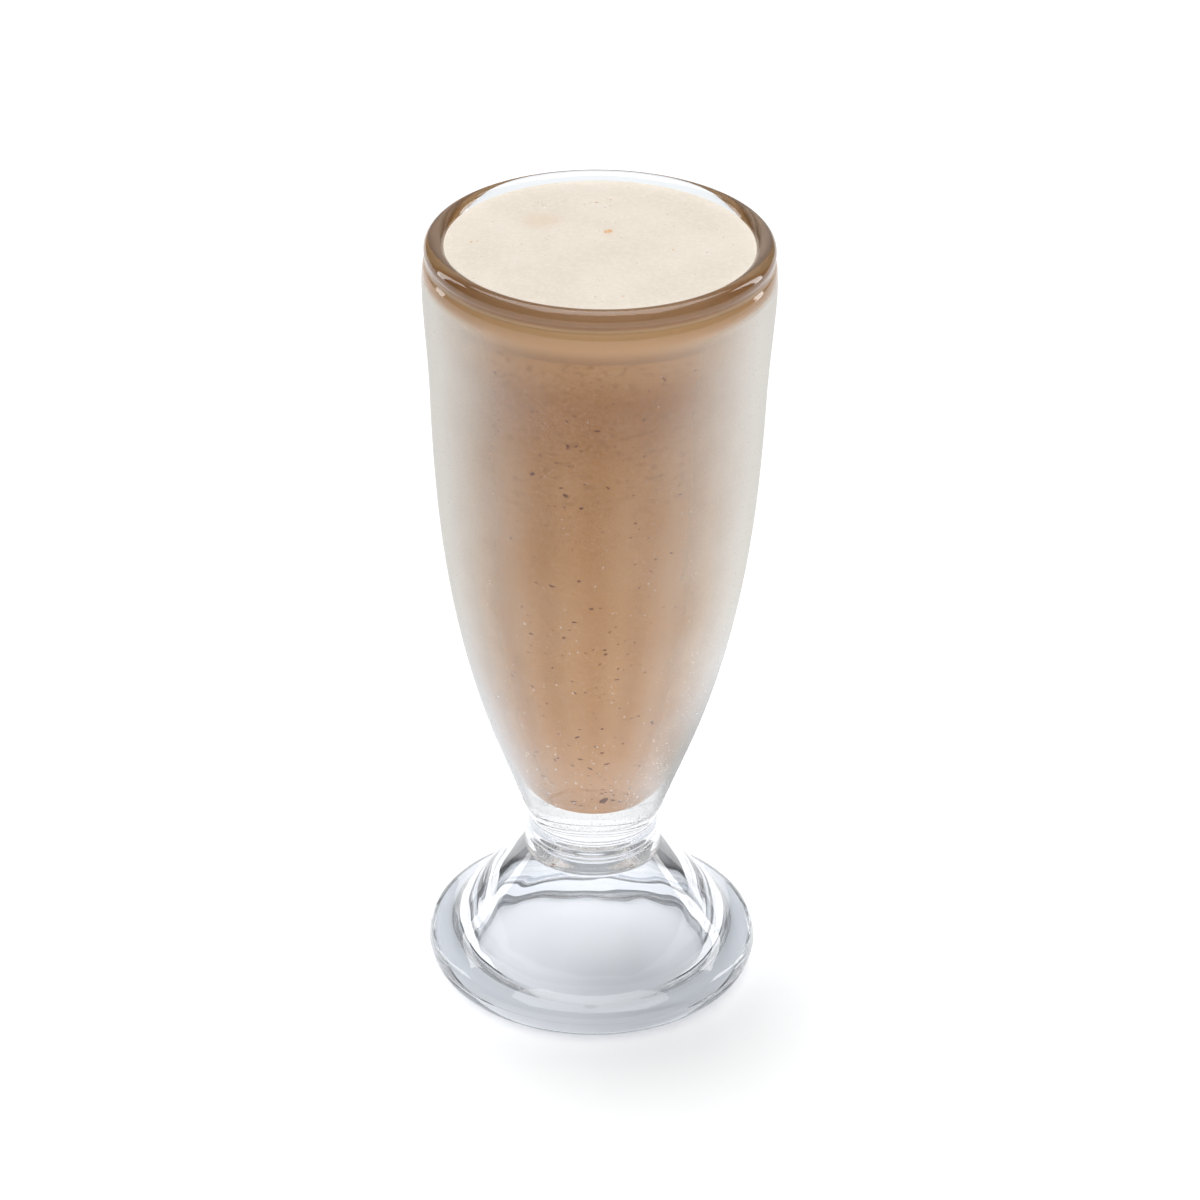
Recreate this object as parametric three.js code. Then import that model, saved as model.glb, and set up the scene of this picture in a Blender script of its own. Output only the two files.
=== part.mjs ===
// A chocolate hazelnut milkshake in its footed glass.
// Units are millimetres and +Z is up. The origin is on the table, under the middle of the foot.
// Every solid is turned about the Z axis from an outline of (radius, height) points.
import * as THREE from "three";

// Heights of the glass, from the table up
const glassHeight = 185;
const hollowTop = 32;
const hollowShoulderHeight = 29.2;
const footEdgeMiddle = 4.9;
const footEdgeShoulder = 7.7;
const domeFootHeight = 12.4;
const collarBottom = 31.2;
const collarMiddle = 33.4;
const waistHeight = 38.2;
const coneTop = 59;
const shoulderStart = 148;
const shoulderHeight = 175.5;
const creaseHeight = 180.3;

// Radii of the glass, on its outside
const footRadius = 38.3;
const footContactRadius = 34.1;
const footEdgeShoulderRadius = 37.3;
const hollowMouthRadius = 28.3;
const hollowShoulderRadius = 7;
const domeFootRadius = 31;
const domeTopRadius = 15.4;
const collarRadius = 15.8;
const waistRadius = 14.75;
const coneTopRadius = 22.1;
const shoulderStartRadius = 36.95;
const shoulderRadius = 38.5;
const creaseRadius = 37.7;
const rimRadius = 38;

// The collar's rounded edges, the waist's round groove and the edge above the shoulder, each as the
// (radius, height) by which it stands off the collar, the waist or the shoulder
const standOff = {
  collarEdge: [-0.1, 0.8],
  collarTop: [-0.4, 1.6],
  waistBelow: [0.15, -0.8],
  waistAbove: [0.25, 0.9],
  coneFoot: [0.55, 2.2],
  shoulderEdge: [-0.1, 3.2],
};

// The round bead of the rim starts a little below its widest place, at this angle
const rimBeadRadius = 2.25;
const rimBeadStart = -0.45;

// The inside of the bowl
const bowlFloor = 46.3;
const bowlHeelHeight = 53;
const bowlHeelRadius = 9.6;
const bowlMouthRadius = 33.3;

// Each round stretch of the outline leaves its start towards the first (radius, height) pair
// and comes into its end from the second.
const pulls = {
  hollowCap: [[2.8, 32], [4.8, 30.8]],
  hollowSkirt: [[14.5, 23.8], [27, 15]],
  edgeBelow: [[36.6, 0], [38.3, 2.2]],
  edgeAbove: [[38.3, 6.5], [37.8, 7.4]],
  domeFillet: [[34.1, 9.4], [32.6, 9.9]],
  dome: [[28.8, 16.1], [20.5, 24.2]],
  bowlCone: [[16.5, 44], [19.2, 51.2]],
  bowlSide: [[33, 88.5], [36, 117]],
  bowlShoulder: [[37.3, 159], [38.5, 168]],
  bowlHeel: [[5.5, 46.3], [7.6, 48]],
  bowlWall: [[23.9, 90.3], [33.3, 127]],
};

// Broad flutes pressed into the inside of the bowl
const fluteCount = 16;
const fluteDepth = 0.5;
const fluteTurn = THREE.MathUtils.degToRad(9.9);
const fluteStart = 56;
const fluteFull = 84;
const fluteFade = 140;
const fluteEnd = 168;

// The drink: milkshake up to the froth, which almost fills the rim
const frothBottom = 172;
const frothTop = 183.3;
const frothEdgeRound = 0.5;
const gap = 0.3;

// Five facets to a flute
const facetsAround = fluteCount * 5;

function point(radius, height) {
  return new THREE.Vector2(radius, height);
}

// The place that stands off a radius and height by a pair of steps
function near(radius, height, [outward, upward]) {
  return point(radius + outward, height + upward);
}

// A round stretch of outline, shaped by its two pull points
function sweep(start, [startPull, endPull], end, steps) {
  return new THREE.CubicBezierCurve(start, point(...startPull), point(...endPull), end).getPoints(steps);
}

// Joins stretches of outline, and drops a point that repeats the one before it.
function joinOutline(...stretches) {
  const outline = [];
  for (const next of stretches.flat()) {
    const last = outline[outline.length - 1];
    if (!last || last.distanceTo(next) > 0.001) {
      outline.push(next);
    }
  }
  return outline;
}

// The deep hollow under the foot, from its top on the axis down to the ring that stands on the table
function footHollow() {
  const shoulder = point(hollowShoulderRadius, hollowShoulderHeight);
  return [
    sweep(point(0, hollowTop), pulls.hollowCap, shoulder, 3),
    sweep(shoulder, pulls.hollowSkirt, point(hollowMouthRadius, 0), 6),
  ].flat();
}

// The thick rounded edge of the foot, from the table up to where the dome rises
function footEdge() {
  const widest = point(footRadius, footEdgeMiddle);
  const shoulder = point(footEdgeShoulderRadius, footEdgeShoulder);
  return [
    sweep(point(footContactRadius, 0), pulls.edgeBelow, widest, 4),
    sweep(widest, pulls.edgeAbove, shoulder, 2),
    sweep(shoulder, pulls.domeFillet, point(domeFootRadius, domeFootHeight), 3),
  ].flat();
}

// The dome of the foot, which climbs at about 45 degrees to the collar
function footDome() {
  return sweep(point(domeFootRadius, domeFootHeight), pulls.dome, point(domeTopRadius, collarBottom), 5);
}

// The solid collar, and the waist above it
function collarAndWaist() {
  return [
    near(collarRadius, collarBottom, standOff.collarEdge),
    point(collarRadius, collarMiddle),
    near(collarRadius, collarMiddle, standOff.collarTop),
    near(waistRadius, waistHeight, standOff.waistBelow),
    point(waistRadius, waistHeight),
    near(waistRadius, waistHeight, standOff.waistAbove),
  ];
}

// The bowl's outside: a cone out of the waist that turns upright and swells into a shoulder
function bowlOutside() {
  const coneFoot = near(waistRadius, waistHeight, standOff.coneFoot);
  const coneEnd = point(coneTopRadius, coneTop);
  const shoulderFoot = point(shoulderStartRadius, shoulderStart);
  const shoulder = point(shoulderRadius, shoulderHeight);
  return [
    sweep(coneFoot, pulls.bowlCone, coneEnd, 2),
    sweep(coneEnd, pulls.bowlSide, shoulderFoot, 9),
    sweep(shoulderFoot, pulls.bowlShoulder, shoulder, 2),
  ].flat();
}

// The shoulder's top, the crease and the round bead of the rim, ending on the bowl's inside
function rim() {
  const middle = point(rimRadius - rimBeadRadius, glassHeight - rimBeadRadius);
  const bead = (from, to) => new THREE.EllipseCurve(
    middle.x, middle.y, rimBeadRadius, rimBeadRadius, from, to).getPoints(4);
  return joinOutline(
    [near(shoulderRadius, shoulderHeight, standOff.shoulderEdge), point(creaseRadius, creaseHeight)],
    bead(rimBeadStart, Math.PI / 2),
    bead(Math.PI / 2, Math.PI));
}

// The bowl's inside, from the axis at its floor up to the bottom of the froth
function bowlInside() {
  const floor = point(0, bowlFloor);
  const heel = point(bowlHeelRadius, bowlHeelHeight);
  const mouth = point(bowlMouthRadius, frothBottom);
  return joinOutline(
    sweep(floor, pulls.bowlHeel, heel, 4),
    sweep(heel, pulls.bowlWall, mouth, 9));
}

// How far the inside of the bowl moves out at an angle and height, for the flutes
function fluteShift(angle, height) {
  const rise = THREE.MathUtils.smoothstep(height, fluteStart, fluteFull);
  const fall = 1 - THREE.MathUtils.smoothstep(height, fluteFade, fluteEnd);
  return 0.5 * fluteDepth * rise * fall * Math.cos(fluteCount * (angle - fluteTurn));
}

// Turns an outline about the Z axis. Points from firstFluted to lastFluted follow the flutes.
function turn(outline, firstFluted, lastFluted) {
  const geometry = new THREE.LatheGeometry(outline, facetsAround);
  const position = geometry.attributes.position;
  for (let index = 0; index < position.count; index++) {
    const place = index % outline.length;
    const radius = outline[place].x;
    if (place >= firstFluted && place <= lastFluted && radius > 0) {
      const angle = Math.atan2(position.getX(index), position.getZ(index));
      const stretch = 1 + fluteShift(angle, outline[place].y) / radius;
      position.setX(index, position.getX(index) * stretch);
      position.setZ(index, position.getZ(index) * stretch);
    }
  }
  geometry.rotateX(Math.PI / 2);
  geometry.computeVertexNormals();
  return geometry;
}

// The whole glass: foot, collar, bowl and rim in one piece
function makeGlass() {
  const outside = joinOutline(
    footHollow(), footEdge(), footDome(), collarAndWaist(), bowlOutside(), rim());
  const inside = bowlInside().reverse();
  const material = new THREE.MeshStandardMaterial({
    color: 0xe6ecf0, roughness: 0.05, metalness: 0, transparent: true, opacity: 0.35,
  });
  const outline = [...outside, ...inside];
  const mesh = new THREE.Mesh(turn(outline, outside.length, outline.length - 1), material);
  mesh.name = "glass";
  return mesh;
}

// The milkshake, clear of the glass by the gap all round
function makeMilkshake() {
  const wall = bowlInside().map((spot) => point(Math.max(spot.x - gap, 0), spot.y + gap));
  wall[wall.length - 1].y = frothBottom - gap;
  const outline = [...wall, point(0, frothBottom - gap)];
  const material = new THREE.MeshStandardMaterial({ color: 0xb98d68, roughness: 0.6, metalness: 0 });
  const mesh = new THREE.Mesh(turn(outline, 0, wall.length - 1), material);
  mesh.name = "milkshake";
  return mesh;
}

// The pale froth that floats on the milkshake
function makeFroth() {
  const radius = bowlMouthRadius - gap;
  const outline = [
    point(0, frothBottom),
    point(radius, frothBottom),
    point(radius, frothTop - frothEdgeRound),
    point(radius - frothEdgeRound, frothTop),
    point(0, frothTop),
  ];
  const material = new THREE.MeshStandardMaterial({ color: 0xeee4d6, roughness: 0.8, metalness: 0 });
  const mesh = new THREE.Mesh(turn(outline, outline.length, 0), material);
  mesh.name = "froth";
  return mesh;
}

const milkshakeInGlass = new THREE.Group();
milkshakeInGlass.add(makeGlass(), makeMilkshake(), makeFroth());

export default milkshakeInGlass;
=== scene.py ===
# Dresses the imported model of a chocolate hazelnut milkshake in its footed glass.
# Blender's units are metres and +Z is up. Outlines are written in millimetres and scaled when a mesh is made.
import math

import bpy
import numpy as np
from mathutils import Matrix, Vector, noise


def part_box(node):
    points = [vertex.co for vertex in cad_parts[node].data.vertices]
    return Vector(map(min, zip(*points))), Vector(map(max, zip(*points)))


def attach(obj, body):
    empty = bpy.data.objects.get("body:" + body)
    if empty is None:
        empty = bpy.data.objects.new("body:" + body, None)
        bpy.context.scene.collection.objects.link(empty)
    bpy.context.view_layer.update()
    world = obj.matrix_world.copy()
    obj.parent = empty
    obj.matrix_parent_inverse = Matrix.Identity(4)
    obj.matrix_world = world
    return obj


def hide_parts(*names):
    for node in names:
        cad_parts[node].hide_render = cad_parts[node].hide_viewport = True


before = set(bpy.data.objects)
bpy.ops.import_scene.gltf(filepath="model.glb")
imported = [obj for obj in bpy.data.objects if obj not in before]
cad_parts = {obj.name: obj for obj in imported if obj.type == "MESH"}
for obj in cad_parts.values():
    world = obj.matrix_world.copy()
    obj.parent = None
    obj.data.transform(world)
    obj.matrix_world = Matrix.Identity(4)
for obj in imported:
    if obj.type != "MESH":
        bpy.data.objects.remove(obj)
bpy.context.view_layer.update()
MM = 0.001

# Heights of the glass above the table, in millimetres, as the solids have them
GLASS_HEIGHT = round(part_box("glass")[1].z / MM, 2)
HOLLOW_TOP = 32
HOLLOW_SHOULDER_HEIGHT = 29.2
FOOT_EDGE_MIDDLE = 4.9
FOOT_EDGE_SHOULDER = 7.7
DOME_FOOT_HEIGHT = 12.4
COLLAR_BOTTOM = 31.2
COLLAR_MIDDLE = 33.4
WAIST_HEIGHT = 38.2
CONE_TOP = 59
SHOULDER_START = 148
SHOULDER_HEIGHT = 175.5
CREASE_HEIGHT = 180.3

# Radii of the glass on its outside, in millimetres
FOOT_RADIUS = 38.3
FOOT_CONTACT_RADIUS = 34.1
FOOT_EDGE_SHOULDER_RADIUS = 37.3
HOLLOW_MOUTH_RADIUS = 28.3
HOLLOW_SHOULDER_RADIUS = 7
DOME_FOOT_RADIUS = 31
DOME_TOP_RADIUS = 15.4
COLLAR_RADIUS = 15.8
WAIST_RADIUS = 14.75
CONE_TOP_RADIUS = 22.1
SHOULDER_START_RADIUS = 36.95
SHOULDER_RADIUS = 38.5
CREASE_RADIUS = 37.7
RIM_RADIUS = 38

# The round bead of the rim, in millimetres, starts a little below its widest place, at this angle.
RIM_BEAD_RADIUS = 2.25
RIM_BEAD_START = -0.45

# The inside of the bowl, in millimetres
BOWL_FLOOR = 46.3
BOWL_HEEL_HEIGHT = 53
BOWL_HEEL_RADIUS = 9.6
BOWL_MOUTH_RADIUS = 33.3

# Each round stretch of the outline leaves its start towards the first (radius, height) pair
# and comes into its end from the second.
PULLS = {
    "hollow_cap": [(2.8, 32), (4.8, 30.8)],
    "hollow_skirt": [(14.5, 23.8), (27, 15)],
    "edge_below": [(36.6, 0), (38.3, 2.2)],
    "edge_above": [(38.3, 6.5), (37.8, 7.4)],
    "dome_fillet": [(34.1, 9.4), (32.6, 9.9)],
    "dome": [(28.8, 16.1), (20.5, 24.2)],
    "bowl_cone": [(16.5, 44), (19.2, 51.2)],
    "bowl_side": [(33, 88.5), (36, 117)],
    "bowl_shoulder": [(37.3, 159), (38.5, 168)],
    "shoulder_top": [(38.5, 177.5), (38.4, 179.7)],
    "bowl_heel": [(5.5, 46.3), (7.6, 48)],
    "bowl_wall": [(23.9, 90.3), (33.3, 127)],
}

# The sharp lower lip of the collar and the fine mould lines of collar and waist. Each is the
# (radius, height) by which it stands off the collar's bottom, its widest place or the waist.
COLLAR_LIP = [(-0.05, 0.3), (-0.12, 0.8)]
COLLAR_LINES = [(0, 0), (-0.12, 0.9), (-0.42, 1.2), (-0.3, 1.7), (-0.65, 2.1), (-0.55, 2.6)]
WAIST_LINES = [
    (0.1, -1.4),
    (0.15, -0.8),
    (0, 0),
    (0.28, 0.5),
    (0.24, 0.8),
    (0.45, 1.3),
    (0.41, 1.7),
    (0.55, 2.2),
]

# Flutes inside the bowl, in millimetres
FLUTE_COUNT = 16
FLUTE_DEPTH = 0.5
FLUTE_TURN = math.radians(9.9)
FLUTE_START = 56
FLUTE_FULL = 84
FLUTE_FADE = 140
FLUTE_END = 168

# The fine ridge that the mould leaves round the widest place of the foot, in millimetres
SEAM_HEIGHT = 0.12
SEAM_WIDTH = 0.3

# Waves that pressing leaves in the hollow of the foot, in millimetres. They fade out over WAVE_FADE.
WAVE_HEIGHT = 0.22
WAVE_LENGTH = 6.5
WAVE_FADE = 8

# The drink, in millimetres. It reaches a little way into the wall, so that no air shows between,
# and a low ring of faces keeps its corners crisp.
FROTH_BOTTOM = 172
FROTH_TOP = 183.3
WALL_REACH = 0.08
CORNER_RING = 0.05

# The froth's edge, in millimetres: how far it reaches into the rim, and how it climbs there
FROTH_SIDE_TOP = 182.7
FROTH_SIDE_REACH = 0.28
FROTH_EDGE_REACH = 0.32
FROTH_RISE = 0.18
FROTH_RISE_WIDTH = 0.6

# The froth's uneven top, in millimetres
FROTH_LUMP_HEIGHT = 0.12
FROTH_LUMP_LENGTH = 6
FROTH_LUMP_EDGE = 2

# Condensation covers the bowl between these heights, in millimetres
MIST_BOTTOM = 43.5
MIST_TOP = 179

# Specks in the drink. Each large one is a height, an angle from the front, a half-width and a spin.
SPECK_COUNT = 900
SPECK_BOTTOM = 50
SPECK_TOP = 170
LARGE_SPECKS = [
    (52.2, 0.2, 0.72, 1.1),
    (51.8, -0.95, 0.32, 0.8),
    (118, -0.12, 0.3, 0.2),
    (98, 0.09, 0.3, 0.4),
    (140, -0.2, 0.4, 2.6),
    (144, -0.42, 0.42, 0.6),
    (137, -0.1, 0.36, 0.3),
]

# What lies on the froth, in millimetres, with the places of the large fleck and of a soft brown smudge
FLECK_COUNT = 46
FLECK_REACH = 31
LARGE_FLECK = (1.8, 7.0)
LARGE_FLECK_PARTS = 14
SMUDGE = (-12.5, 11.5)
BUBBLE_COUNT = 420
BUBBLE_REACH = 32.8

# Beads of water on the bowl. Every third one gathers round an angle on the right.
DROPLET_COUNT = 6000
DROPLET_TOP = MIST_TOP - 3
DROPLET_SIDE = 1.0
DROPLET_SPREAD = 0.3
DROPLET_SINK = 0.01

# Faces round the glass, with their angles from the front, steps up the lower edge of its foot, and
# steps of its shoulder that are misted
AROUND = 256
ANGLES = np.arange(AROUND) * 2 * math.pi / AROUND
EDGE_STEPS = 12
MISTED_SHOULDER_STEPS = 8


def sweep(start, pulls, end, steps):
    """A round stretch of outline, shaped by its two pull points."""
    t = np.linspace(0, 1, steps + 1)[:, None]
    a, b, c, d = (np.array(p, float) for p in (start, *pulls, end))
    return (1 - t) ** 3 * a + 3 * (1 - t) ** 2 * t * b + 3 * (1 - t) * t ** 2 * c + t ** 3 * d


def arc(middle, radius, start, end, steps):
    angle = np.linspace(start, end, steps + 1)
    return np.stack([middle[0] + radius * np.cos(angle), middle[1] + radius * np.sin(angle)], 1)


def through(points, steps):
    """A smooth line through the points."""
    p = np.array(points, float)
    p = np.vstack([2 * p[0] - p[1], p, 2 * p[-1] - p[-2]])
    t = np.linspace(0, 1, steps, endpoint=False)[:, None]
    out = []
    for a, b, c, d in zip(p, p[1:], p[2:], p[3:]):
        out.append(0.5 * (2 * b + (c - a) * t + (2 * a - 5 * b + 4 * c - d) * t ** 2
                          + (3 * b - a - 3 * c + d) * t ** 3))
    return np.vstack([*out, p[-2:-1]])


def stand_off(radius, height, steps):
    """The places that stand off a radius and height by each (radius, height) pair of steps."""
    return [(radius + outward, height + upward) for outward, upward in steps]


def join_outline(*stretches):
    """Joins stretches of outline, and drops a point that repeats the one before it."""
    points = np.vstack(stretches)
    step = np.linalg.norm(np.diff(points, axis=0), axis=1)
    return points[np.concatenate([[True], step > 0.001])]


def smoothstep(value, low, high):
    t = np.clip((value - low) / (high - low), 0, 1)
    return t * t * (3 - 2 * t)


def foot_hollow():
    """The hollow under the foot, from its top on the axis down to the table."""
    shoulder = (HOLLOW_SHOULDER_RADIUS, HOLLOW_SHOULDER_HEIGHT)
    return join_outline(
        sweep((0, HOLLOW_TOP), PULLS["hollow_cap"], shoulder, steps=16),
        sweep(shoulder, PULLS["hollow_skirt"], (HOLLOW_MOUTH_RADIUS, 0), steps=36))


def foot_edge():
    """The rounded edge of the foot, with the mould's seam round it."""
    widest = (FOOT_RADIUS, FOOT_EDGE_MIDDLE)
    shoulder = (FOOT_EDGE_SHOULDER_RADIUS, FOOT_EDGE_SHOULDER)
    plain = join_outline(
        sweep((FOOT_CONTACT_RADIUS, 0), PULLS["edge_below"], widest, EDGE_STEPS),
        sweep(widest, PULLS["edge_above"], shoulder, steps=6),
        sweep(shoulder, PULLS["dome_fillet"], (DOME_FOOT_RADIUS, DOME_FOOT_HEIGHT), steps=16))
    away = np.linspace(-2 * SEAM_WIDTH, 2 * SEAM_WIDTH, num=11)
    height = np.union1d(plain[:, 1], FOOT_EDGE_MIDDLE + away)
    seam = SEAM_HEIGHT * np.exp(-((height - FOOT_EDGE_MIDDLE) / SEAM_WIDTH) ** 2)
    return np.stack([np.interp(height, plain[:, 1], plain[:, 0]) + seam, height], 1)


def foot_dome():
    foot = (DOME_FOOT_RADIUS, DOME_FOOT_HEIGHT)
    return sweep(foot, PULLS["dome"], (DOME_TOP_RADIUS, COLLAR_BOTTOM), steps=32)


def collar_and_waist():
    """The collar with its lower lip, the groove of the waist and the mould lines on both."""
    return through([
        (DOME_TOP_RADIUS, COLLAR_BOTTOM),
        *stand_off(COLLAR_RADIUS, COLLAR_BOTTOM, COLLAR_LIP),
        *stand_off(COLLAR_RADIUS, COLLAR_MIDDLE, COLLAR_LINES),
        *stand_off(WAIST_RADIUS, WAIST_HEIGHT, WAIST_LINES),
    ], steps=4)


def bowl_outside():
    """The bowl from the highest line of the waist, up its cone and side to the shoulder."""
    cone_foot = stand_off(WAIST_RADIUS, WAIST_HEIGHT, WAIST_LINES)[-1]
    cone_end = (CONE_TOP_RADIUS, CONE_TOP)
    shoulder_foot = (SHOULDER_START_RADIUS, SHOULDER_START)
    shoulder = (SHOULDER_RADIUS, SHOULDER_HEIGHT)
    return join_outline(
        sweep(cone_foot, PULLS["bowl_cone"], cone_end, steps=16),
        sweep(cone_end, PULLS["bowl_side"], shoulder_foot, steps=44),
        sweep(shoulder_foot, PULLS["bowl_shoulder"], shoulder, steps=16))


def rim():
    """The shoulder's top, the crease and the round bead of the rim, ending on the bowl's inside."""
    shoulder = (SHOULDER_RADIUS, SHOULDER_HEIGHT)
    crease = (CREASE_RADIUS, CREASE_HEIGHT)
    middle = (RIM_RADIUS - RIM_BEAD_RADIUS, GLASS_HEIGHT - RIM_BEAD_RADIUS)
    return join_outline(
        sweep(shoulder, PULLS["shoulder_top"], crease, steps=10),
        arc(middle, RIM_BEAD_RADIUS, RIM_BEAD_START, math.pi, steps=36))


def bowl_inside():
    """The bowl's inside, from the axis at its floor up to the bottom of the froth."""
    heel = (BOWL_HEEL_RADIUS, BOWL_HEEL_HEIGHT)
    return join_outline(
        sweep((0, BOWL_FLOOR), PULLS["bowl_heel"], heel, steps=16),
        sweep(heel, PULLS["bowl_wall"], (BOWL_MOUTH_RADIUS, FROTH_BOTTOM), steps=54))


def flute_shift(angle, height):
    """How far the inside of the bowl moves out for the flutes."""
    size = smoothstep(height, FLUTE_START, FLUTE_FULL) * (1 - smoothstep(height, FLUTE_FADE, FLUTE_END))
    return 0.5 * FLUTE_DEPTH * size * np.cos(FLUTE_COUNT * (angle - FLUTE_TURN))


def hollow_waves(outline):
    """How far each point of the hollow moves out, fading to nothing at its top and at the table."""
    rows = []
    for radius, height in outline:
        fade = WAVE_HEIGHT * smoothstep(radius, 1, WAVE_FADE) * smoothstep(height, 0, WAVE_FADE)
        spots = [Vector((radius * math.sin(a), radius * math.cos(a), height)) for a in ANGLES]
        rows.append([fade * noise.noise(spot / WAVE_LENGTH) for spot in spots])
    return np.array(rows)


def froth_unevenness(radius, edge):
    """How far the froth's top moves up round one ring, fading to nothing at its edge."""
    height = FROTH_LUMP_HEIGHT * (1 - smoothstep(radius, edge - FROTH_LUMP_EDGE, edge))
    spots = [Vector((radius * math.sin(a), radius * math.cos(a), 0)) for a in ANGLES]
    return [height * noise.noise(spot / FROTH_LUMP_LENGTH) for spot in spots]


def make_mesh(name, vertices, faces, material):
    mesh = bpy.data.meshes.new(name)
    mesh.from_pydata(np.asarray(vertices).tolist(), [], faces)
    mesh.polygons.foreach_set("use_smooth", [True] * len(faces))
    piece = bpy.data.objects.new(name, mesh)
    mesh.materials.append(material)
    bpy.context.scene.collection.objects.link(piece)
    return piece


def turn(name, outline, material, shift=0, lift=0):
    """A mesh turned about the Z axis, moved out by shift and up by lift at each point.

    Angle 0 is the front, -Y, and grows to the right. Also gives each face's place on the outline.
    """
    radius = outline[:, :1] + (shift + np.zeros(AROUND)) * (outline[:, :1] > 0)
    height = outline[:, 1:] + lift + np.zeros(AROUND)
    rings = np.stack([radius * np.sin(ANGLES), -radius * np.cos(ANGLES), height], -1) * MM
    vertices, starts = [], []
    for place, (r, _) in enumerate(outline):
        starts.append(len(vertices))
        vertices.extend(rings[place, :1] if r == 0 else rings[place])
    faces, owner = [], []
    for place in range(len(outline) - 1):
        low, high = starts[place], starts[place + 1]
        low_pole, high_pole = outline[place][0] == 0, outline[place + 1][0] == 0
        for i in range(AROUND):
            j = (i + 1) % AROUND
            if low_pole:
                faces.append((low, high + j, high + i))
            elif high_pole:
                faces.append((low + i, low + j, high))
            else:
                faces.append((low + i, low + j, high + j, high + i))
            owner.append(place)
    return make_mesh(name, vertices, faces, material), np.array(owner)


class Nodes:
    """A short way to write the nodes of a material or a world."""

    def __init__(self, owner, output="ShaderNodeOutputMaterial"):
        owner.use_nodes = True
        self.owner = owner
        self.tree = owner.node_tree
        self.tree.nodes.clear()
        self.output = self.add(output)

    def add(self, kind, inputs=None, **settings):
        node = self.tree.nodes.new(kind)
        for key, value in settings.items():
            setattr(node, key, value)
        for key, value in (inputs or {}).items():
            self.put(node.inputs[key], value)
        return node

    def put(self, socket, value):
        if isinstance(value, bpy.types.NodeSocket):
            self.tree.links.new(value, socket)
        else:
            socket.default_value = value

    def math(self, operation, a, b=0.0, c=0.0):
        return self.add("ShaderNodeMath", {0: a, 1: b, 2: c}, operation=operation).outputs[0]

    def plus(self, a, b):
        return self.math("ADD", a, b)

    def times(self, a, b):
        return self.math("MULTIPLY", a, b)

    def noise(self, vector, scale, detail=2.0, roughness=0.5):
        node = self.add("ShaderNodeTexNoise", {
            "Vector": vector,
            "Scale": scale,
            "Detail": detail,
            "Roughness": roughness,
        })
        return node.outputs["Fac"]

    def ramp(self, value, low, high, to_low=0.0, to_high=1.0, shape="SMOOTHSTEP"):
        """Turns low to high into to_low to to_high, and stays there on either side."""
        node = self.add("ShaderNodeMapRange", {
            "Value": value,
            "From Min": low,
            "From Max": high,
            "To Min": to_low,
            "To Max": to_high,
        })
        node.interpolation_type = shape
        return node.outputs["Result"]

    def along(self, axis, low, high, to_low=0.0, to_high=1.0, shape="SMOOTHSTEP"):
        """A ramp between two places on an axis, in millimetres."""
        return self.ramp(axis, low * MM, high * MM, to_low, to_high, shape)

    def blend(self, factor, a, b):
        node = self.add("ShaderNodeMix", data_type="RGBA")
        self.put(node.inputs["Factor"], factor)
        self.put(node.inputs["A"], a)
        self.put(node.inputs["B"], b)
        return node.outputs["Result"]

    def mix(self, factor, first, second):
        node = self.add("ShaderNodeMixShader", {"Fac": factor})
        self.tree.links.new(first, node.inputs[1])
        self.tree.links.new(second, node.inputs[2])
        return node.outputs[0]

    def stops(self, value, stops):
        """Colours by value: each stop is a place from 0 to 1 and its colour."""
        node = self.add("ShaderNodeValToRGB", {"Fac": value})
        node.color_ramp.interpolation = "EASE"
        elements = node.color_ramp.elements
        elements[0].position, elements[1].position = stops[0][0], stops[-1][0]
        elements[0].color, elements[1].color = (*stops[0][1], 1), (*stops[-1][1], 1)
        for place, colour in stops[1:-1]:
            elements.new(place).color = (*colour, 1)
        return node.outputs["Color"]

    def place(self, kind="Object"):
        """Object coordinates, and their X, Y and Z apart."""
        where = self.add("ShaderNodeTexCoord").outputs[kind]
        apart = self.add("ShaderNodeSeparateXYZ", {"Vector": where}).outputs
        return where, apart

    def finish(self, shader):
        self.tree.links.new(shader, self.output.inputs["Surface"])
        return self.owner


def new_material(name):
    return Nodes(bpy.data.materials.new(name))


def plain_material(name, colour, roughness, gloss=0.5):
    nodes = new_material(name)
    shader = nodes.add("ShaderNodeBsdfPrincipled", {
        "Base Color": colour,
        "Roughness": roughness,
        "Specular IOR Level": gloss,
    })
    return nodes.finish(shader.outputs[0])


FOOT_TINT = (0.87, 0.895, 0.93, 1)
DOME_TINT = (0.945, 0.955, 0.975, 1)
NECK_TINT = (0.74, 0.745, 0.745, 1)
RIM_TINT = (0.78, 0.81, 0.83, 1)
BOWL_TINT = (0.97, 0.98, 0.99, 1)

# What is left of the lamps' light behind one surface: of the glass, of the foot's hollow and of the
# flat ring that stands on the table
CLEAR_SHADOW = (0.97, 0.97, 0.97, 1)
HOLLOW_SHADOW = (0.93, 0.94, 0.955, 1)
RING_SHADOW = (0.42, 0.44, 0.47, 1)

# The film of condensation: its colour low on the bowl and higher up, the painted shade that greys it on the
# right side of the cone, how rough and uneven it makes the glass, and how much it hides square on and aslant
LOW_FILM = (0.90, 0.91, 0.93, 1)
HIGH_FILM = (0.90, 0.875, 0.82, 1)
CONE_PAINTED_SHADE = (0.40, 0.39, 0.36, 1)
FILM_ROUGHNESS = 0.11
FILM_RELIEF = 0.12
FILM_LEAST = 0.01
FILM_MOST = 0.97


def glass_shader(nodes, tint, roughness=0.0, normal=None):
    shader = nodes.add("ShaderNodeBsdfPrincipled", {
        "Base Color": tint,
        "Transmission Weight": 1.0,
        "IOR": 1.5,
        "Roughness": roughness,
    })
    if normal is not None:
        nodes.put(shader.inputs["Normal"], normal)
    return shader.outputs[0]


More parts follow.
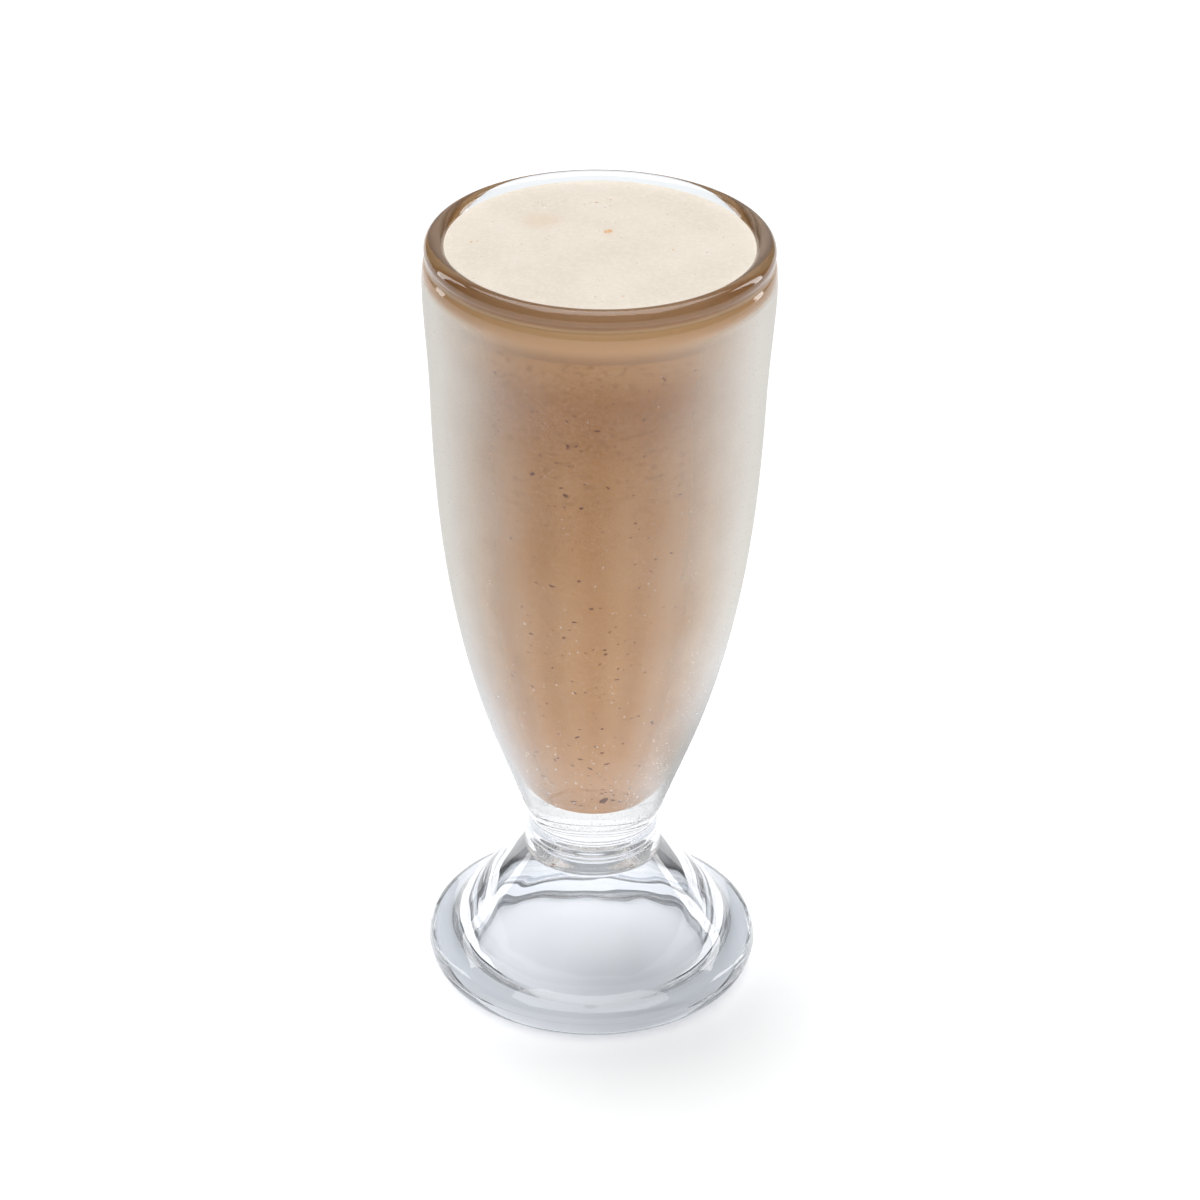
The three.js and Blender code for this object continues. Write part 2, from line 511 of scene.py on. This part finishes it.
def finish_glass(nodes, shader, shadow=CLEAR_SHADOW):
    """Lets the lamps' light straight through, less what the surface holds back."""
    path = nodes.add("ShaderNodeLightPath")
    clear = nodes.add("ShaderNodeBsdfTransparent", {"Color": shadow})
    return nodes.finish(nodes.mix(path.outputs["Is Shadow Ray"], shader, clear.outputs[0]))


def clear_glass():
    """The foot and collar, and the rim, which is greyer."""
    nodes = new_material("clear_glass")
    _, apart = nodes.place()
    foot = nodes.blend(nodes.along(apart["Z"], 9, 20), FOOT_TINT, DOME_TINT)
    tint = nodes.blend(nodes.along(apart["Z"], WAIST_HEIGHT, MIST_TOP), foot, RIM_TINT)
    return finish_glass(nodes, glass_shader(nodes, tint))


def hollow_glass():
    """The underside of the foot, which bends much of the light away from the table below it."""
    nodes = new_material("hollow_glass")
    _, apart = nodes.place()
    flat = nodes.add("ShaderNodeCombineXYZ", {"X": apart["X"], "Y": apart["Y"]}).outputs[0]
    radius = nodes.add("ShaderNodeVectorMath", {0: flat}, operation="LENGTH").outputs["Value"]
    ring = nodes.times(nodes.along(radius, HOLLOW_MOUTH_RADIUS - 2, HOLLOW_MOUTH_RADIUS + 1),
                       nodes.along(radius, FOOT_CONTACT_RADIUS + 0.5, FOOT_RADIUS, 1.0, 0.0))
    shadow = nodes.blend(ring, HOLLOW_SHADOW, RING_SHADOW)
    return finish_glass(nodes, glass_shader(nodes, FOOT_TINT), shadow)


def film_colour_and_painted_shade(nodes, apart):
    """The colour of the condensation by its place on the bowl, with painted shade that makes it greyer at the
    right side of the cone.
    """
    colour = nodes.blend(nodes.along(apart["Z"], 65, 110), LOW_FILM, HIGH_FILM)
    # Painted shade: the film is greyed at the right side of the cone.
    cone_painted_shade = nodes.times(nodes.along(apart["Z"], 60, 90, 0.7, 0.0), nodes.along(apart["X"], 12, 18))
    return nodes.blend(cone_painted_shade, colour, CONE_PAINTED_SHADE)


def misted_glass():
    """Glass under a film of fine condensation, which hides more where it is seen aslant."""
    nodes = new_material("misted_glass")
    where, apart = nodes.place()
    low_end = nodes.along(apart["Z"], MIST_BOTTOM - 1.5, MIST_BOTTOM + 4)
    high_end = nodes.along(apart["Z"], MIST_TOP - 3, MIST_TOP, 1.0, 0.0)
    film = nodes.times(low_end, high_end)
    grain = nodes.noise(where, scale=2600, detail=1)
    # How far aslant the film is seen, uneven in streaks, less low on the bowl and more on its right
    facing = nodes.add("ShaderNodeLayerWeight", {"Blend": 0.5}).outputs["Facing"]
    streaks = nodes.noise(where, scale=55, detail=3)
    slant = nodes.plus(facing, nodes.ramp(streaks, 0.3, 0.7, -0.02, 0.02))
    slant = nodes.math("SUBTRACT", slant, nodes.along(apart["Z"], 55, 150, 0.18, 0.0))
    slant = nodes.plus(slant, nodes.along(apart["X"], -20, 25, 0.0, 0.04))
    rough = nodes.times(film, nodes.ramp(slant, 0.3, 0.55, 0.0, FILM_ROUGHNESS))
    relief = nodes.ramp(slant, 0.35, 0.6, 0.0, FILM_RELIEF)
    bump = nodes.add("ShaderNodeBump", {"Strength": relief, "Distance": 0.0001, "Height": grain})
    tint = nodes.blend(nodes.along(apart["Z"], MIST_BOTTOM, MIST_BOTTOM + 14), NECK_TINT, BOWL_TINT)
    glass = glass_shader(nodes, tint, rough, bump.outputs["Normal"])
    cover = nodes.times(film, nodes.ramp(slant, 0.09, 0.78, FILM_LEAST, FILM_MOST))
    cover = nodes.times(cover, nodes.ramp(grain, 0.3, 0.7, 0.93, 1.0))
    veil = nodes.add("ShaderNodeBsdfDiffuse", {"Color": film_colour_and_painted_shade(nodes, apart)})
    return finish_glass(nodes, nodes.mix(cover, glass, veil.outputs[0]))


# The milkshake's colour, from its floor at 0 up to the froth at 1. It holds painted light and shade: paler
# low down, as if lit from the table, and darkest high up, under the rim.
MILKSHAKE_COLOURS_AND_PAINTED_SHADING = [
    (0.0, (0.445, 0.243, 0.118)),
    (0.35, (0.345, 0.173, 0.065)),
    (0.75, (0.350, 0.172, 0.050)),
    (0.92, (0.290, 0.122, 0.024)),
    (1.0, (0.400, 0.220, 0.090)),
]
# What lies over it, each a colour and its greatest strength
CLOUD_COLOUR = (0.46, 0.27, 0.13, 1)
CLOUD_STRENGTH = 0.18
# Painted light: paler stripes that stand for the light that the flutes bend.
FLUTE_PAINTED_LIGHT_COLOUR = (0.56, 0.37, 0.215, 1)
FLUTE_PAINTED_LIGHT_STRENGTH = 0.16
GRAIN_COLOUR = (0.49, 0.33, 0.20, 1)
GRAIN_STRENGTH = 0.22
MOTTLE_COLOUR = (0.21, 0.095, 0.025, 1)
MOTTLE_STRENGTH = 0.45
# Painted light: the pale grey painted where the drink is seen through the neck.
NECK_PAINTED_LIGHT_COLOUR = (0.78, 0.775, 0.76, 1)
NECK_PAINTED_LIGHT_STRENGTH = 0.92


def flute_painted_light(nodes, apart, height):
    """How strongly the flutes' painted light shows as paler stripes, fading out at the bottom and top of the
    bowl.
    """
    angle = nodes.math("ARCTAN2", apart["X"], nodes.times(apart["Y"], -1.0))
    turned = nodes.times(nodes.math("SUBTRACT", angle, FLUTE_TURN), float(FLUTE_COUNT))
    painted_band = nodes.math("MULTIPLY_ADD", nodes.math("COSINE", turned), 0.5, 0.5)
    fade = nodes.times(nodes.ramp(height, 0.05, 0.3), nodes.ramp(height, 0.75, 0.95, 1.0, 0.0))
    return nodes.times(nodes.times(painted_band, fade), FLUTE_PAINTED_LIGHT_STRENGTH)


def milkshake_material():
    """Pale chocolate milk with faint clouds and stripes, and fine mottling higher up. Its colour by height is
    painted light and shade, paler low down and darker high up, and the stripes are painted light of the
    flutes.
    """
    nodes = new_material("milkshake")
    where, apart = nodes.place()
    height = nodes.along(apart["Z"], BOWL_FLOOR, FROTH_BOTTOM, shape="LINEAR")
    # Painted light and shade: paler low down and darker high up.
    colour = nodes.stops(height, MILKSHAKE_COLOURS_AND_PAINTED_SHADING)
    clouds = nodes.noise(where, scale=38, detail=3)
    colour = nodes.blend(nodes.ramp(clouds, 0.35, 0.65, 0.0, CLOUD_STRENGTH), colour, CLOUD_COLOUR)
    # Painted light of the flutes, as paler stripes.
    colour = nodes.blend(flute_painted_light(nodes, apart, height), colour, FLUTE_PAINTED_LIGHT_COLOUR)
    grain = nodes.noise(where, scale=1300, detail=2)
    colour = nodes.blend(nodes.ramp(grain, 0.45, 0.75, 0.0, GRAIN_STRENGTH), colour, GRAIN_COLOUR)
    # Mottling is flatter than it is wide
    flat = nodes.add("ShaderNodeVectorMath", {0: where, 1: (1, 1, 1.8)}, operation="MULTIPLY").outputs[0]
    mottle = nodes.ramp(nodes.noise(flat, scale=420, detail=4, roughness=0.6), 0.52, 0.66)
    mottle = nodes.times(mottle, nodes.ramp(height, 0.6, 0.85, 0.1, MOTTLE_STRENGTH))
    colour = nodes.blend(mottle, colour, MOTTLE_COLOUR)
    # The neck shows the drink's underside pale, after more than one bend of the light: this is painted light,
    # a pale grey painted over the drink's colour there, strongest low down.
    depth = nodes.add("ShaderNodeLightPath").outputs["Ray Depth"]
    bent = nodes.math("GREATER_THAN", depth, 1.5)
    neck_painted_light = nodes.times(bent, nodes.ramp(height, 0.35, 0.7, NECK_PAINTED_LIGHT_STRENGTH, 0.0))
    colour = nodes.blend(neck_painted_light, colour, NECK_PAINTED_LIGHT_COLOUR)
    shader = nodes.add("ShaderNodeBsdfPrincipled", {
        "Base Color": colour,
        "Roughness": 0.6,
        "Specular IOR Level": 0.0,
    })
    return nodes.finish(shader.outputs[0])


# The froth's colour at its side, from its bottom at 0 up to its top at 1. It is partly painted light and
# shade: darker than the cream top, with a dark band painted under the rim's bead.
FROTH_SIDE_COLOURS_AND_PAINTED_SHADE = [
    (0.0, (0.400, 0.220, 0.090)),
    (0.3, (0.640, 0.390, 0.190)),
    (0.62, (0.540, 0.345, 0.170)),
    (0.76, (0.410, 0.205, 0.075)),
    (0.86, (0.560, 0.340, 0.175)),
    (1.0, (0.850, 0.600, 0.380)),
]
CREAM_DARK = (0.60, 0.54, 0.46, 1)
CREAM_PALE = (0.63, 0.57, 0.49, 1)
FOAM_COLOUR = (0.73, 0.675, 0.605, 1)
FOAM_STRENGTH = 0.3
STAIN_COLOUR = (0.60, 0.44, 0.32, 1)
# Soft brown stains on the froth, each as a place, how far it reaches in millimetres, and its strength
STAINS = [
    (SMUDGE, 6.5, 0.42),
    (LARGE_FLECK, 4.0, 0.25),
]


def froth_material():
    """Cream on top. At the side it is as brown as the drink, under a paler band, and painted shade darkens
    it, most in a band under the rim's bead.
    """
    nodes = new_material("froth")
    where, apart = nodes.place()
    height = nodes.along(apart["Z"], FROTH_BOTTOM, FROTH_TOP, shape="LINEAR")
    # Painted shade: the side is darker than the top, with a dark band under the rim's bead.
    side = nodes.stops(height, FROTH_SIDE_COLOURS_AND_PAINTED_SHADE)
    clouds = nodes.noise(where, scale=70, detail=4)
    top = nodes.blend(nodes.ramp(clouds, 0.35, 0.65), CREAM_DARK, CREAM_PALE)
    foam = nodes.noise(where, scale=1100, detail=3)
    top = nodes.blend(nodes.ramp(foam, 0.4, 0.7, 0.0, FOAM_STRENGTH), top, FOAM_COLOUR)
    for (x, y), reach, strength in STAINS:
        spot = (x * MM, y * MM, FROTH_TOP * MM)
        away = nodes.add("ShaderNodeVectorMath", {0: where, 1: spot}, operation="DISTANCE").outputs["Value"]
        soft = nodes.plus(away, nodes.ramp(clouds, 0.3, 0.7, -1.5 * MM, 1.5 * MM))
        top = nodes.blend(nodes.along(soft, 0.0, reach, strength, 0.0), top, STAIN_COLOUR)
    colour = nodes.blend(nodes.along(apart["Z"], FROTH_TOP - 0.35, FROTH_TOP - 0.1), side, top)
    shader = nodes.add("ShaderNodeBsdfPrincipled", {
        "Base Color": colour,
        "Roughness": 0.45,
        "Specular IOR Level": 0.3,
    })
    return nodes.finish(shader.outputs[0])


def droplet_material():
    nodes = new_material("droplets")
    water = nodes.add("ShaderNodeBsdfPrincipled", {
        "Base Color": (1, 1, 1, 1),
        "Transmission Weight": 0.5,
        "IOR": 1.33,
        "Roughness": 0.05,
    })
    return finish_glass(nodes, water.outputs[0])


def make_glass():
    """The whole glass: clear at foot, collar and rim, misted on the bowl, and its underside apart."""
    hollow = foot_hollow()
    foot = join_outline(hollow, foot_edge(), foot_dome(), collar_and_waist())
    bowl = bowl_outside()
    outside = join_outline(foot, bowl, rim())
    outline = join_outline(outside, bowl_inside()[::-1])
    shift = np.zeros((len(outline), AROUND))
    shift[:len(hollow)] = hollow_waves(hollow)
    shift[len(outside):] = flute_shift(ANGLES, outline[len(outside):, 1:])
    piece, owner = turn("glass_body", outline, clear_glass(), shift)
    piece.data.materials.append(misted_glass())
    piece.data.materials.append(hollow_glass())
    misted = (owner >= len(foot) - 1) & (owner < len(foot) + len(bowl) + MISTED_SHOULDER_STEPS)
    underside = owner < len(hollow) + EDGE_STEPS
    piece.data.polygons.foreach_set("material_index", (misted + 2 * underside).astype(int))
    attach(piece, "root")
    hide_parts("glass")


def make_milkshake():
    wall = bowl_inside() + np.array([WALL_REACH, 0])
    wall[0] = (0, BOWL_FLOOR - WALL_REACH)
    corner = [(BOWL_MOUTH_RADIUS + WALL_REACH, FROTH_BOTTOM - CORNER_RING)]
    outline = np.vstack([wall[:-1], corner, wall[-1:], [(0, FROTH_BOTTOM)]])
    shift = flute_shift(ANGLES, outline[:, 1:])
    piece, _ = turn("milkshake_body", outline, milkshake_material(), shift)
    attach(piece, "root")
    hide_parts("milkshake")


def make_froth():
    """The froth, which lies softly uneven and clings to the rim."""
    foot = BOWL_MOUTH_RADIUS + WALL_REACH
    side = [
        (0, FROTH_BOTTOM),
        (foot, FROTH_BOTTOM),
        (foot, FROTH_BOTTOM + CORNER_RING),
        (BOWL_MOUTH_RADIUS + FROTH_SIDE_REACH, FROTH_SIDE_TOP),
    ]
    edge = BOWL_MOUTH_RADIUS + FROTH_EDGE_REACH
    rings = np.linspace(edge, 0, num=110)
    rise = FROTH_RISE * np.exp((rings - edge) / FROTH_RISE_WIDTH)
    outline = join_outline(side, np.stack([rings, FROTH_TOP + rise], 1))
    lift = np.zeros((len(outline), AROUND))
    for place in range(len(side), len(outline)):
        lift[place] = froth_unevenness(outline[place][0], edge)
    lift[-1] = lift[-1][0]
    piece, _ = turn("froth_layer", outline, froth_material(), lift=lift)
    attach(piece, "root")
    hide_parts("froth")


def unit_dome(sides, rings):
    """The points and faces of a dome of radius 1 round the Z axis."""
    points = [(math.cos(rise) * math.cos(turned), math.cos(rise) * math.sin(turned), math.sin(rise))
              for rise in np.linspace(0, math.pi / 2, rings, endpoint=False)
              for turned in np.linspace(0, 2 * math.pi, sides, endpoint=False)]
    faces = []
    for ring in range(rings - 1):
        low, high = ring * sides, (ring + 1) * sides
        for i in range(sides):
            j = (i + 1) % sides
            faces.append((low + i, low + j, high + j, high + i))
    last, top = (rings - 1) * sides, len(points)
    faces += [(last + i, last + (i + 1) % sides, top) for i in range(sides)]
    return [Vector(point) for point in points] + [Vector((0, 0, 1))], faces


def on_wall(outline, height, angle, reach=0.0):
    """A place on a turned wall, and the way that the wall faces there. Its slope is taken over 1 mm."""
    low, radius, high = np.interp([height - 0.5, height, height + 0.5], outline[:, 1], outline[:, 0])
    out = Vector((math.sin(angle), -math.cos(angle), 0))
    spot = (radius + reach) * out + Vector((0, 0, height))
    return spot, (out - Vector((0, 0, high - low))).normalized()


def on_froth(radius, angle, height=FROTH_TOP):
    return Vector((radius * math.cos(angle), radius * math.sin(angle), height))


def mostly_small(random, least, more, power):
    """A random size that is mostly near the least, and seldom as much larger as it can be."""
    return least + more * random.random() ** power


def scatter(name, places, material):
    """One mesh of small domes. A place is a spot, the way it faces, a spin and the dome's three sizes."""
    points, shape = unit_dome(sides=6, rings=2)
    vertices, faces = [], []
    for spot, facing, spin, sizes in places:
        turned = facing.to_track_quat("Z", "Y").to_matrix() @ Matrix.Rotation(spin, 3, "Z")
        start = len(vertices)
        vertices.extend((spot + turned @ (point * Vector(sizes))) * MM for point in points)
        faces.extend(tuple(start + index for index in face) for face in shape)
    piece = make_mesh(name, vertices, faces, material)
    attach(piece, "root")


def make_drink_specks():
    """Dark specks all round the drink's side, most of them fine, and a few large ones in front."""
    random = np.random.default_rng(5)
    wall = bowl_inside()
    places = []
    for _ in range(SPECK_COUNT):
        height = random.uniform(SPECK_BOTTOM, SPECK_TOP)
        angle = random.uniform(-math.pi, math.pi)
        size = mostly_small(random, least=0.16, more=0.17, power=3)
        spot, facing = on_wall(wall, height, angle, WALL_REACH + flute_shift(angle, height))
        spin = random.normal(0, 0.5)
        sizes = (size * random.uniform(1, 2.6), size, 0.05)
        places.append((spot, facing, spin, sizes))
    for height, angle, size, spin in LARGE_SPECKS:
        spot, facing = on_wall(wall, height, angle, WALL_REACH + flute_shift(angle, height))
        places.append((spot, facing, spin, (1.7 * size, size, 0.06)))
    material = plain_material("specks", (0.16, 0.055, 0.018, 1), roughness=1.0, gloss=0.0)
    scatter("drink_specks", places, material)


def make_froth_flecks():
    """Brown flecks on the froth: one soft large one, and fine ones all over."""
    random = np.random.default_rng(11)
    up = Vector((0, 0, 1))
    places = []
    for _ in range(FLECK_COUNT):
        radius = FLECK_REACH * math.sqrt(random.random())
        angle = random.uniform(0, 2 * math.pi)
        size = mostly_small(random, least=0.08, more=0.16, power=3)
        spin = random.uniform(0, math.pi)
        sizes = (size * random.uniform(1, 1.8), size, 0.12)
        places.append((on_froth(radius, angle), up, spin, sizes))
    x, y = LARGE_FLECK
    for _ in range(LARGE_FLECK_PARTS):
        spot = Vector((x + random.normal(0, 0.45), y + random.normal(0, 0.4), FROTH_TOP))
        places.append((spot, up, random.uniform(0, math.pi), (0.4, 0.28, 0.14)))
    material = plain_material("flecks", (0.60, 0.36, 0.20, 1), roughness=0.6)
    scatter("froth_flecks", places, material)


def make_bubbles():
    """Fine bubbles that stand on the froth, more of them towards its edge."""
    random = np.random.default_rng(3)
    up = Vector((0, 0, 1))
    places = []
    for _ in range(BUBBLE_COUNT):
        radius = BUBBLE_REACH * random.random() ** 0.4
        angle = random.uniform(0, 2 * math.pi)
        size = mostly_small(random, least=0.08, more=0.22, power=5)
        spot = on_froth(radius, angle, FROTH_TOP - 0.02)
        places.append((spot, up, 0.0, (size, size, 0.6 * size + 0.05)))
    material = plain_material("bubbles", (0.66, 0.60, 0.52, 1), roughness=0.25)
    scatter("froth_bubbles", places, material)


def make_droplets():
    """Beads of condensation on the bowl, thickest just above the waist and finer higher up."""
    random = np.random.default_rng(8)
    wall = join_outline(collar_and_waist(), bowl_outside())
    places = []
    for count in range(DROPLET_COUNT):
        rise = random.random() ** 5
        height = MIST_BOTTOM + (DROPLET_TOP - MIST_BOTTOM) * rise
        if count % 3 == 0:
            angle = random.normal(DROPLET_SIDE, DROPLET_SPREAD)
        else:
            angle = random.uniform(-math.pi, math.pi)
        size = mostly_small(random, least=0.09, more=0.16, power=3) * (1 - 0.5 * rise)
        spot, facing = on_wall(wall, height, angle, -DROPLET_SINK)
        places.append((spot, facing, 0.0, (size, size, 0.55 * size)))
    scatter("condensation", places, droplet_material())


# The photograph's view: 30 degrees down on the glass, through a long lens
CAMERA_ELEVATION = math.radians(29.95)
CAMERA_DISTANCE = 888.8 * MM
CAMERA_ROLL = math.radians(0.761)
CAMERA_TARGET = Vector((0.974 * MM, 0, 95.3 * MM))
CAMERA_LENS = 118.0
CAMERA_SENSOR = 36


def make_camera():
    back = Vector((0, -math.cos(CAMERA_ELEVATION), math.sin(CAMERA_ELEVATION)))
    right = Vector((1, 0, 0))
    up = back.cross(right)
    x_axis = math.cos(CAMERA_ROLL) * right + math.sin(CAMERA_ROLL) * up
    y_axis = math.cos(CAMERA_ROLL) * up - math.sin(CAMERA_ROLL) * right
    turned = Matrix((x_axis, y_axis, back)).transposed().to_4x4()
    lens = bpy.data.cameras.new("camera")
    lens.sensor_width = CAMERA_SENSOR
    lens.lens = CAMERA_LENS
    camera = bpy.data.objects.new("camera", lens)
    camera.matrix_world = Matrix.Translation(CAMERA_TARGET + CAMERA_DISTANCE * back) @ turned
    bpy.context.scene.collection.objects.link(camera)
    bpy.context.scene.camera = camera


# The table: half its width in metres, how far it lies under the glass, and a little light of its own,
# which keeps its shadows as soft as in the photograph
FLOOR_HALF = 4.0
FLOOR_DROP = 0.1 * MM
FLOOR_GLOW = 0.045


def make_floor():
    nodes = new_material("floor")
    shader = nodes.add("ShaderNodeBsdfPrincipled", {
        "Base Color": (0.95, 0.95, 0.955, 1),
        "Roughness": 0.9,
        "Specular IOR Level": 0.1,
        "Emission Color": (1, 1, 1, 1),
        "Emission Strength": FLOOR_GLOW,
    })
    signs = [(-1, -1), (1, -1), (1, 1), (-1, 1)]
    corners = [(FLOOR_HALF * x, FLOOR_HALF * y, -FLOOR_DROP) for x, y in signs]
    floor = make_mesh("floor", corners, [(0, 1, 2, 3)], nodes.finish(shader.outputs[0]))


# The studio's light, which is a little blue
WORLD_STRENGTH = 0.36
SKY_RED = 0.97
SKY_GREEN = 0.985
# How bright the studio is near the horizon, behind the glass, at its sides and towards the camera.
# Higher up it is 1, and brighter still overhead.
HORIZON_BEHIND = 1.0
HORIZON_SIDES = 0.05
HORIZON_FRONT = 0.02
OVERHEAD = 1.4
# Dark cards stand at both sides, up to a steep angle.
CARDS = 0.12
# The white that the camera sees beyond the table
SEEN_WHITE = 3.5


def studio_level(nodes):
    """How bright the studio is in each direction, whose X, Y and Z run from -1 to 1."""
    _, apart = nodes.place("Generated")
    near = nodes.ramp(apart["Y"], -0.9, -0.3, HORIZON_FRONT, HORIZON_SIDES)
    horizon = nodes.ramp(apart["Y"], 0.6, 0.95, near, HORIZON_BEHIND)
    level = nodes.times(nodes.ramp(apart["Z"], 0.15, 0.5, horizon, 1.0),
                        nodes.ramp(apart["Z"], 0.5, 1.0, 1.0, OVERHEAD))
    sideways = nodes.ramp(nodes.math("ABSOLUTE", apart["X"]), 0.35, 0.55)
    low = nodes.ramp(apart["Z"], 0.6, 0.85, 1.0, 0.0)
    return nodes.ramp(nodes.times(sideways, low), 0, 1, level, CARDS)


def make_world():
    """A white studio, darker near the horizon at the sides and in front. The camera sees plain white."""
    world = bpy.data.worlds.new("studio")
    world.cycles.sampling_method = "NONE"
    bpy.context.scene.world = world
    nodes = Nodes(world, "ShaderNodeOutputWorld")
    level = studio_level(nodes)
    colour = nodes.add("ShaderNodeCombineColor", {
        "Red": nodes.times(level, SKY_RED),
        "Green": nodes.times(level, SKY_GREEN),
        "Blue": level,
    }).outputs["Color"]
    path = nodes.add("ShaderNodeLightPath")
    colour = nodes.blend(path.outputs["Is Camera Ray"], colour, (SEEN_WHITE, SEEN_WHITE, SEEN_WHITE, 1))
    background = nodes.add("ShaderNodeBackground", {"Color": colour, "Strength": WORLD_STRENGTH})
    nodes.finish(background.outputs[0])


def add_lamp(name, towards, energy, degrees, lit=None):
    """A wide soft lamp, which the glass itself doesn't mirror. It lights all pieces, or only the lit ones.

    Where it lights only some pieces, nothing else shades them from it.
    """
    light = bpy.data.lights.new(name, "SUN")
    light.energy = energy
    light.angle = math.radians(degrees)
    light.cycles.use_multiple_importance_sampling = False
    lamp = bpy.data.objects.new(name, light)
    lamp.rotation_euler = Vector(towards).to_track_quat("Z", "Y").to_euler()
    bpy.context.scene.collection.objects.link(lamp)
    if lit:
        group = bpy.data.collections.new(name + "_lights")
        for piece in lit:
            group.objects.link(piece)
        lamp.light_linking.receiver_collection = group
        lamp.light_linking.blocker_collection = group


def add_gleam(name, place, width, height, energy):
    """A softbox that is only seen mirrored on the outside of the glass, and lights nothing."""
    light = bpy.data.lights.new(name, "AREA")
    light.energy = energy
    light.shape = "RECTANGLE"
    light.size = width
    light.size_y = height
    lamp = bpy.data.objects.new(name, light)
    lamp.location = place
    lamp.rotation_euler = Vector(place).to_track_quat("Z", "Y").to_euler()
    lamp.visible_camera = False
    lamp.visible_diffuse = False
    lamp.visible_transmission = False
    bpy.context.scene.collection.objects.link(lamp)
    lamp.light_linking.receiver_collection = bpy.data.collections.new(name + "_lights")
    lamp.light_linking.receiver_collection.objects.link(bpy.data.objects["glass_body"])


def make_lights():
    """One lamp overhead, two fills, from the front and from below off the table, and three gleams."""
    make_world()
    add_lamp("overhead_lamp", towards=(-0.08, 0.16, 1.0), energy=3.05, degrees=34)
    dressed = [piece for piece in bpy.data.objects if piece.type == "MESH" and piece.name != "floor"]
    add_lamp("front_fill", towards=(0.2, -0.8, 0.5), energy=0.85, degrees=60, lit=dressed)
    drink = [bpy.data.objects["milkshake_body"]]
    add_lamp("under_fill", towards=(0, -0.4, -1.0), energy=1.5, degrees=90, lit=drink)
    add_gleam("left_gleam", place=(-1.0, 0.5, 0.5), width=0.2, height=1.0, energy=2.8)
    add_gleam("right_gleam", place=(1.0, 0.5, 0.5), width=0.2, height=1.0, energy=3.6)
    add_gleam("overhead_gleam", place=(0, 0.2, 1.2), width=1.1, height=1.1, energy=12)


def set_up_render():
    scene = bpy.context.scene
    scene.view_settings.view_transform = "Standard"
    scene.view_settings.look = "None"
    scene.cycles.max_bounces = 48
    scene.cycles.transmission_bounces = 48
    scene.cycles.glossy_bounces = 48
    scene.cycles.transparent_max_bounces = 24
    # Unblurred, so that the lamps' light isn't bent onto the table as well as let straight through
    scene.cycles.blur_glossy = 0


make_camera()
make_glass()
make_milkshake()
make_froth()
make_drink_specks()
make_froth_flecks()
make_bubbles()
make_droplets()
make_floor()
make_lights()
set_up_render()
